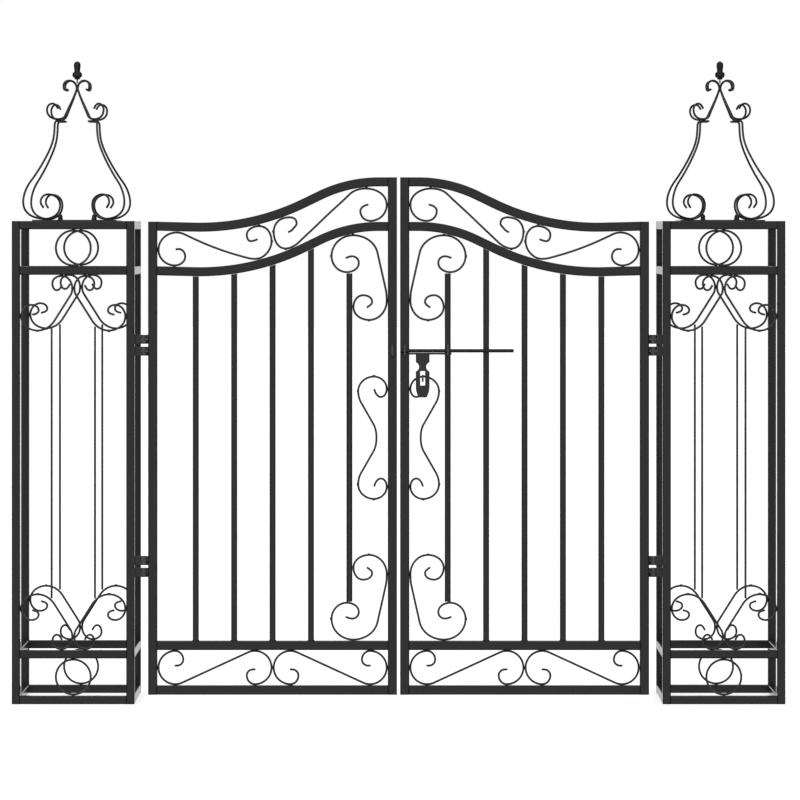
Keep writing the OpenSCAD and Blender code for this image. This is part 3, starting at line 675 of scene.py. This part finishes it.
def lathe_mesh(name, rings):
    """A closed mesh through rings of points, with a pole below and above."""
    shape = bmesh.new()
    loops = [[shape.verts.new(p) for p in ring] for ring in rings]
    count = len(loops[0])
    for a, b in zip(loops, loops[1:]):
        for i in range(count):
            j = (i + 1) % count
            shape.faces.new((a[i], a[j], b[j], b[i]))
    shape.faces.new(list(reversed(loops[0])))
    shape.faces.new(loops[-1])
    bmesh.ops.recalc_face_normals(shape, faces=shape.faces)
    for face in shape.faces:
        face.smooth = True
    mesh = bpy.data.meshes.new(name)
    shape.to_mesh(mesh)
    shape.free()
    piece = bpy.data.objects.new(name, mesh)
    bpy.context.scene.collection.objects.link(piece)
    return piece


def smooth_profile(knots, steps):
    """Knots of a profile joined by smooth steps."""
    rows = []
    for a, b in zip(knots, knots[1:]):
        for i in range(steps):
            t = i / steps
            rows.append(tuple(u + (v - u) * t for u, v in zip(a, b)))
    rows.append(knots[-1])
    return rows


def cast_bud(side):
    """The lobed casting in the box of a finial's tip."""
    low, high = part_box(side + "_finial_tip")
    centre = (low + high) / 2
    radius = (high.x - low.x) / 2
    height = high.z - low.z
    rings = []
    for up, out, petal in smooth_profile(BUD_PROFILE, PROFILE_STEPS):
        twist = 0 if up < BUD_WAIST else math.pi / BUD_LOBES
        ring = []
        for i in range(BUD_STEPS):
            angle = math.tau * i / BUD_STEPS
            lobe = abs(math.cos((angle + twist) * BUD_LOBES / 2))
            r = radius * out * (1 - petal * (1 - lobe) ** 2 * PETAL_DEPTH)
            x = centre.x + r * math.cos(angle)
            y = centre.y + r * math.sin(angle)
            ring.append(Vector((x, y, low.z + up * height)))
        rings.append(ring)
    piece = lathe_mesh(side + "_cast_bud", rings)
    piece.data.materials.append(cast_coat)
    return piece


for side in SIDES:
    hand_over(cast_bud(side), "pillars", "black_cast", side + "_finial_tip")


# Leaves: curved rails and scrollwork, drawn from the hinge stile to the meeting stile

bay_low, bay_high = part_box("left_top_rail")
BAY_START = bay_low.x
BAY_W = bay_high.x - bay_low.x
PITCH = BAY_W / PICKET_SPACES
bend_run = (CROWN_R + HOLLOW_R) * math.sin(RISE) + SLOPE_L * math.cos(RISE) + HOLLOW_R * math.sin(DIP)
entry_l = (BAY_W - FLAT_L - bend_run) / math.cos(DIP)
entry_end = Vector((entry_l * math.cos(DIP), -entry_l * math.sin(DIP)))
hollow_low = entry_end + HOLLOW_R * Vector((math.sin(DIP), math.cos(DIP) - 1))
hollow_end = hollow_low + HOLLOW_R * Vector((math.sin(RISE), 1 - math.cos(RISE)))
slope_end = hollow_end + SLOPE_L * Vector((math.cos(RISE), math.sin(RISE)))
crown_top = slope_end + CROWN_R * Vector((math.sin(RISE), 1 - math.cos(RISE)))
top_rail_z = bay_high.z - LEAF_TUBE / 2 - crown_top.y
arched_rail_z = top_rail_z - TOP_BAND_H - LEAF_TUBE


def rail_height(d):
    """Height of a curved rail's centre line over its start, at a distance from the hinge stile."""
    if d < entry_end.x:
        return -d * math.tan(DIP)
    if d < hollow_end.x:
        return hollow_low.y + HOLLOW_R - math.sqrt(HOLLOW_R ** 2 - (d - hollow_low.x) ** 2)
    if d < slope_end.x:
        return hollow_end.y + (d - hollow_end.x) * math.tan(RISE)
    if d < crown_top.x:
        return crown_top.y - CROWN_R + math.sqrt(CROWN_R ** 2 - (crown_top.x - d) ** 2)
    return crown_top.y


def rail_slope(d):
    """Slope of a curved rail's centre line at a distance from the hinge stile."""
    if d < entry_end.x:
        return -math.tan(DIP)
    if d < hollow_end.x:
        return (d - hollow_low.x) / math.sqrt(HOLLOW_R ** 2 - (d - hollow_low.x) ** 2)
    if d < slope_end.x:
        return math.tan(RISE)
    if d < crown_top.x:
        return (crown_top.x - d) / math.sqrt(CROWN_R ** 2 - (crown_top.x - d) ** 2)
    return 0


def half_upright(d, width):
    """Half a bar's thickness measured upright where the rail slopes."""
    return width / 2 * math.sqrt(1 + rail_slope(d) ** 2)


def rounded_square(width, corner, steps):
    """Points of a square with rounded corners, anticlockwise."""
    inner = width / 2 - corner
    points = []
    for quarter in range(4):
        for i in range(steps + 1):
            angle = QUARTER_TURN * (quarter + i / steps)
            cx = inner if quarter in (0, 3) else -inner
            cy = inner if quarter in (0, 1) else -inner
            points.append((cx + corner * math.cos(angle), cy + corner * math.sin(angle)))
    return points


END_RING = 0.3 * MM
CAP_FACING = 0.98


def curved_rail(name, start_z, side):
    """A square tube bent along the leaf's top, closed at both ends."""
    places = [0, END_RING, entry_end.x / 3, entry_end.x * 2 / 3]
    steps = math.ceil((DIP + RISE) / RAIL_STEP)
    bends = [-DIP + (DIP + RISE) * i / steps for i in range(steps + 1)]
    places += [hollow_low.x + HOLLOW_R * math.sin(bend) for bend in bends]
    steps = math.ceil(RISE / RAIL_STEP)
    places += [crown_top.x - CROWN_R * math.sin(RISE * (1 - i / steps)) for i in range(steps + 1)]
    places += [BAY_W - END_RING, BAY_W]
    rings = []
    for d in places:
        lean = 0 if d in (0, BAY_W) else math.atan(rail_slope(min(d, crown_top.x)))
        ring = []
        for y, up in rounded_square(LEAF_TUBE, TUBE_CORNER, CORNER_STEPS):
            x = BAY_START + d - up * math.sin(lean)
            ring.append(Vector((x, y, start_z + rail_height(d) + up * math.cos(lean))))
        rings.append(sided(side, ring))
    piece = lathe_mesh(name, rings)
    for face in piece.data.polygons:
        if abs(face.normal.x) > CAP_FACING:
            face.use_smooth = False
    piece.data.materials.append(level_coat)
    return piece


def along_rail(points):
    """Points of a straight band, their height a share, moved between the curved rails."""
    moved = []
    for p in points:
        low = arched_rail_z + rail_height(p.x) + half_upright(p.x, LEAF_TUBE)
        high = top_rail_z + rail_height(p.x) - half_upright(p.x, LEAF_TUBE)
        margin = half_upright(p.x, 2 * ROD_R) + 2 * WELD_GAP
        moved.append(Vector((BAY_START + p.x, 0, low + margin + p.y * (high - low - 2 * margin))))
    return moved


BAND_W = BAY_W / 2 - 2 * WELD_GAP - 2 * ROD_R
BAND_START = WELD_GAP + ROD_R
BAND_DRAW_H = TOP_BAND_H - 2 * ROD_R - 4 * WELD_GAP


def top_band_strokes():
    """The two scrolls between the left leaf's curved rails."""
    strokes = []
    for shares, start in ((HINGE_BAND, BAND_START), (MEETING_BAND, BAY_W / 2 + BAND_START)):
        drawn = curve_points(placed(shares, (start, 0), (BAND_W, BAND_DRAW_H)))
        strokes.append(along_rail([Vector((p.x, p.y / BAND_DRAW_H)) for p in drawn]))
    return strokes


def bottom_band_strokes():
    """The two mirrored scrolls between the left leaf's lower rails."""
    low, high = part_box("left_bottom_band_scrolls")
    middle = (low.x + high.x) / 2
    shares = BOTTOM_BAND_HALF + half_turned(BOTTOM_BAND_HALF)
    size = (BAND_W, high.z - low.z - 2 * ROD_R)
    scroll = in_plane(curve_points(placed(shares, (low.x + ROD_R, low.z + ROD_R), size)), 0)
    return [scroll, across_mirror(scroll, middle)]


def lock_strokes():
    """The scrolls beside the left meeting stile: top, bottom and middle."""
    low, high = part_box("left_lock_scrolls")
    stile_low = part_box("left_meeting_stile")[0]
    width = PITCH - PICKET_W / 2 - 2 * ROD_R - 2 * WELD_GAP
    start = (stile_low.x - PITCH + PICKET_W / 2 + WELD_GAP + ROD_R, low.z + ROD_R)
    corner = in_plane(curve_points(placed(LOCK_SCROLL, start, (width, LOCK_SCROLL_H - 2 * ROD_R))), 0)
    middle = placed(
        MIDDLE_SCROLL_HALF + turned_over(MIDDLE_SCROLL_HALF),
        (stile_low.x - WELD_GAP - ROD_R - MIDDLE_W, MIDDLE_SCROLL_Z),
        (MIDDLE_W, MIDDLE_SCROLL_H / 2 - ROD_R),
    )
    return [corner, level_mirror(corner, (low.z + high.z) / 2), in_plane(curve_points(middle), 0)]


for side in SIDES:
    body = body_of_side(side)
    for word, start_z in (("top", top_rail_z), ("arched", arched_rail_z)):
        piece = curved_rail(side + "_" + word + "_bent_tube", start_z, side)
        hand_over(piece, body, "black_tube", side + "_" + word + "_rail")
    for node, strokes in (
        (side + "_top_band_scrolls", top_band_strokes()),
        (side + "_bottom_band_scrolls", bottom_band_strokes()),
        (side + "_lock_scrolls", lock_strokes()),
    ):
        strokes = [sided(side, s) for s in strokes]
        leaf_beads[side] += stroke_beads(strokes)
        piece = rods(node + "_rods", strokes, rod_coat)
        hand_over(piece, body, "black_rod", node)


# Welds at the feet of the long pickets, and all the beads as pieces

LONG_PICKETS = 4
foot_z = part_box("left_lower_rails")[1].z
for side in SIDES:
    for number in range(1, LONG_PICKETS + 1):
        for way in (-1, 1):
            foot = Vector((BAY_START + PITCH * number + way * PICKET_W / 2, 0, foot_z))
            for point in sided(side, [foot]):
                leaf_beads[side].append(bead(point, (0, 0, QUARTER_TURN)))
    piece = scattered(side + "_pillar_welds", weld_bead, pillar_beads[side], weld_coat)
    hand_over(piece, "pillars", "black_rod")
    piece = scattered(side + "_leaf_welds", weld_bead, leaf_beads[side], weld_coat)
    hand_over(piece, body_of_side(side), "black_rod")
bpy.data.objects.remove(weld_bead, do_unlink=True)


# Hinge plates: the full height of each knuckle pair, from the tubes to the barrels

HINGE_MIDDLES = (217 * MM, 566 * MM)
PAIR_PITCH = 18.7 * MM
KNUCKLE_H = 7 * MM
KNUCKLE_GAP = 0.3 * MM
BARREL_R = 6 * MM
PLATE_T = 7.4 * MM
PLATE_EDGE = 0.35 * MM
PLATE_CLEARANCE = 0.1 * MM
POST_LAP = 5.5 * MM
STILE_LAP = 4 * MM


def eased_box(shape, low, high, edge):
    """Adds a box with eased edges to a mesh under construction."""
    made = bmesh.ops.create_cube(shape, size=1)
    size = [b - a for a, b in zip(low, high)]
    middle = [(a + b) / 2 for a, b in zip(low, high)]
    for vert in made["verts"]:
        vert.co = [m + c * d for m, c, d in zip(middle, vert.co, size)]
    edges = {e for v in made["verts"] for e in v.link_edges}
    bmesh.ops.bevel(shape, geom=list(edges), offset=edge, segments=2, affect="EDGES", profile=0.5)


def mesh_piece(name, shape, material):
    """An object of the mesh under construction."""
    mesh = bpy.data.meshes.new(name)
    bmesh.ops.recalc_face_normals(shape, faces=shape.faces)
    shape.to_mesh(mesh)
    shape.free()
    mesh.materials.append(material)
    piece = bpy.data.objects.new(name, mesh)
    bpy.context.scene.collection.objects.link(piece)
    return piece


def hinge_plates(side, spans, name):
    """One plate per knuckle pair, for each span of (start, end, front, back) drawn on the left."""
    shape = bmesh.new()
    plate_h = 2 * KNUCKLE_H + KNUCKLE_GAP
    for middle in HINGE_MIDDLES:
        for step in (-1, 1):
            foot = middle + step * PAIR_PITCH / 2 - KNUCKLE_H - KNUCKLE_GAP / 2
            for start, end, front, back in spans:
                xs = sorted(p.x for p in sided(side, [Vector((start, 0, 0)), Vector((end, 0, 0))]))
                eased_box(shape, (xs[0], front, foot), (xs[1], back, foot + plate_h), PLATE_EDGE)
    return mesh_piece(name, shape, fitting_coat)


post_low, post_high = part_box("left_pillar_posts")
flank = post_high.x
stile_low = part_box("left_hinge_stile")[0]
hinge_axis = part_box("left_leaf_hinges")[0].x + BARREL_R
wide = BARREL_R + PLATE_CLEARANCE
half_t = PLATE_T / 2
pillar_spans = [
    (flank, hinge_axis - wide, -half_t, half_t),
    (flank - POST_LAP, flank + PLATE_EDGE * 2, post_low.y - PLATE_EDGE, post_low.y + PLATE_EDGE),
]
leaf_spans = [(hinge_axis + wide, stile_low.x + STILE_LAP, -half_t, half_t)]
for side in SIDES:
    piece = hinge_plates(side, pillar_spans, side + "_pillar_hinge_plates")
    hand_over(piece, "pillars", "black_fittings")
    piece = hinge_plates(side, leaf_spans, side + "_leaf_hinge_plates")
    hand_over(piece, body_of_side(side), "black_fittings")


# Cap nuts that hold the plate of each finial

NUT_R = 4.2 * MM
NUT_H = 3.7 * MM
DOME_H = 5.2 * MM
DOME_SHARE = 0.88
NUT_OFFSET = 27 * MM
WASHER_R = 5 * MM
WASHER_H = 0.7 * MM
NUT_STEPS = 48
NUT_TURN = 10
NUT_SWING = 14
DOME_ROWS = 9
DOME_FOOT = 0.12


def cap_nut_shape():
    """A hexagon with a chamfer, a washer below it and a dome on it."""
    rows = [
        (0, WASHER_R, 0), (WASHER_H * 0.8, WASHER_R, 0), (WASHER_H, WASHER_R * 0.96, 0),
        (WASHER_H, NUT_R * 0.98, 1), (WASHER_H + NUT_H * 0.12, NUT_R, 1),
        (WASHER_H + NUT_H * 0.82, NUT_R, 1), (WASHER_H + NUT_H, NUT_R * 0.94, 0.5),
        (WASHER_H + NUT_H, NUT_R * DOME_SHARE, 0),
    ]
    top = WASHER_H + NUT_H
    for i in range(DOME_ROWS):
        angle = math.radians(10 * i)
        up = DOME_FOOT + (1 - DOME_FOOT) * math.sin(angle)
        rows.append((top + DOME_H * up, NUT_R * DOME_SHARE * max(math.cos(angle), DOME_FOOT), 0))
    rings = []
    for z, r, flats in rows:
        ring = []
        for i in range(NUT_STEPS):
            angle = math.tau * i / NUT_STEPS
            off = (angle + math.pi / 6) % (math.pi / 3) - math.pi / 6
            hexagon = math.cos(math.pi / 6) / math.cos(off)
            out = r * (1 + (hexagon - 1) * flats)
            ring.append(Vector((out * math.cos(angle), out * math.sin(angle), z)))
        rings.append(ring)
    return lathe_mesh("cap_nut_shape", rings)


nut_shape = cap_nut_shape()
for side in SIDES:
    low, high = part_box(side + "_finial_base")
    centre = (low + high) / 2
    places = []
    for way in (-1, 1):
        foot = Vector((centre.x + way * NUT_OFFSET, centre.y, high.z))
        places.append((foot, (0, 0, math.radians(NUT_TURN + NUT_SWING * way)), (1, 1, 1)))
    piece = scattered(side + "_cap_nuts", nut_shape, places, fitting_coat)
    hand_over(piece, "pillars", "black_fittings")
bpy.data.objects.remove(nut_shape, do_unlink=True)


# Coatings of the pieces that stay as the part has them

for side in SIDES:
    kept = {
        "_pillar_posts": upright_coat, "_hinge_stile": upright_coat, "_meeting_stile": upright_coat,
        "_pickets": upright_coat, "_pillar_rails": level_coat, "_lower_rails": level_coat,
        "_finial_bar": level_coat, "_finial_base": plate_coat,
        # The hinge knuckles take the lighter black with its painted highlight
        "_pillar_hinges": painted_highlight_coat, "_leaf_hinges": painted_highlight_coat,
    }
    for node, material in kept.items():
        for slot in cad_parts[side + node].material_slots:
            slot.material = material
for node, material in (
    # The keeper and the staples take the lighter black with its painted highlight
    ("left_bolt_keeper", painted_highlight_coat), ("right_bolt_staples", painted_highlight_coat),
    ("sliding_bolt", plate_coat), ("bolt_hasp", fitting_coat),
):
    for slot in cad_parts[node].material_slots:
        slot.material = material


# Studio: white floor and light all round, and the camera in front

CAMERA_X = 0.423
CAMERA_Y = -7.3465
CAMERA_Z = 0.7396
LENS = 209.5
SHIFT_X = 0.0018
SHIFT_Y = -0.206
SENSOR_W = 36
VIEW_END = 200
FLOOR_SIZE = 60
FLOOR_DROP = 0.2 * MM
FLOOR_TONE = (0.9, 0.9, 0.9, 1)
FLOOR_ROUGH = 0.9
FLOOR_GLOW = 0.8

lens = bpy.data.cameras.new("front_view")
lens.lens = LENS
lens.sensor_width = SENSOR_W
lens.shift_x = SHIFT_X
lens.shift_y = SHIFT_Y
lens.clip_end = VIEW_END
camera = bpy.data.objects.new("front_view", lens)
camera.location = (CAMERA_X, CAMERA_Y, CAMERA_Z)
camera.rotation_euler = (QUARTER_TURN, 0, 0)
bpy.context.scene.collection.objects.link(camera)
bpy.context.scene.camera = camera

floor_mesh = bpy.data.meshes.new("studio_floor")
half = FLOOR_SIZE / 2
corners = [(-half, -half, 0), (half, -half, 0), (half, half, 0), (-half, half, 0)]
floor_mesh.from_pydata(corners, [], [(0, 1, 2, 3)])
floor = bpy.data.objects.new("studio_floor", floor_mesh)
floor.location = (CAMERA_X, 0, cad_low.z - FLOOR_DROP)
bpy.context.scene.collection.objects.link(floor)
floor.visible_diffuse = False
floor.visible_glossy = False
white = bpy.data.materials.new("studio_white")
white.use_nodes = True
painted = white.node_tree.nodes["Principled BSDF"]
painted.inputs["Base Color"].default_value = FLOOR_TONE
painted.inputs["Roughness"].default_value = FLOOR_ROUGH
painted.inputs["Emission Color"].default_value = FLOOR_TONE
painted.inputs["Emission Strength"].default_value = FLOOR_GLOW
floor_mesh.materials.append(white)

# Light of the studio's parts: axis, which way, where it begins, where it is full, how bright
DIM_SIDES = 0.07
FRONT_PANELS = (1, -1, 0.6, 0.93, 0.66)
BACK_PANELS = (1, 1, 0.7, 0.97, 0.95)
TOP_PANELS = (2, 1, 0.35, 0.9, 0.5)


def studio_world():
    """A white backdrop, soft panels in front, behind and above, and dim sides."""
    world = bpy.data.worlds.new("studio_light")
    world.use_nodes = True
    nodes = world.node_tree.nodes
    links = world.node_tree.links
    where = nodes.new("ShaderNodeTexCoord")
    parts = nodes.new("ShaderNodeSeparateXYZ")
    links.new(where.outputs["Generated"], parts.inputs["Vector"])
    total = None
    for axis, way, begin, full, strength in (FRONT_PANELS, BACK_PANELS, TOP_PANELS):
        panel = nodes.new("ShaderNodeMapRange")
        panel.interpolation_type = "SMOOTHSTEP"
        panel.inputs["From Min"].default_value = way * begin
        panel.inputs["From Max"].default_value = way * full
        panel.inputs["To Min"].default_value = 0
        panel.inputs["To Max"].default_value = strength
        links.new(parts.outputs[axis], panel.inputs["Value"])
        added = nodes.new("ShaderNodeMath")
        added.operation = "ADD"
        links.new(panel.outputs["Result"], added.inputs[0])
        if total is None:
            added.inputs[1].default_value = DIM_SIDES
        else:
            links.new(total, added.inputs[1])
        total = added.outputs["Value"]
    ray = nodes.new("ShaderNodeLightPath")
    seen = nodes.new("ShaderNodeMix")
    seen.data_type = "FLOAT"
    links.new(ray.outputs["Is Camera Ray"], seen.inputs["Factor"])
    links.new(total, seen.inputs[2])
    seen.inputs[3].default_value = 1
    links.new(seen.outputs[0], nodes["Background"].inputs["Strength"])
    nodes["Background"].inputs["Color"].default_value = (1, 1, 1, 1)
    return world


bpy.context.scene.world = studio_world()


def soft_light(name, place, aim, size, power):
    """A square light that looks at a point."""
    lamp = bpy.data.lights.new(name, "AREA")
    lamp.shape = "SQUARE"
    lamp.size = size
    lamp.energy = power
    holder = bpy.data.objects.new(name, lamp)
    holder.location = place
    holder.rotation_euler = (Vector(aim) - Vector(place)).to_track_quat("-Z", "Y").to_euler()
    holder.visible_camera = False
    bpy.context.scene.collection.objects.link(holder)
    return holder


LEFT_PILLAR = (0, 0, 0.6)
SOFTBOX_PLACE = (-1.6, -2.2, 1.5)
SOFTBOX_SIZE = 0.9
SOFTBOX_POWER = 12
soft_light("front_left_softbox", SOFTBOX_PLACE, LEFT_PILLAR, SOFTBOX_SIZE, SOFTBOX_POWER)

bpy.context.scene.view_settings.view_transform = "Standard"
bpy.context.scene.view_settings.look = "None"
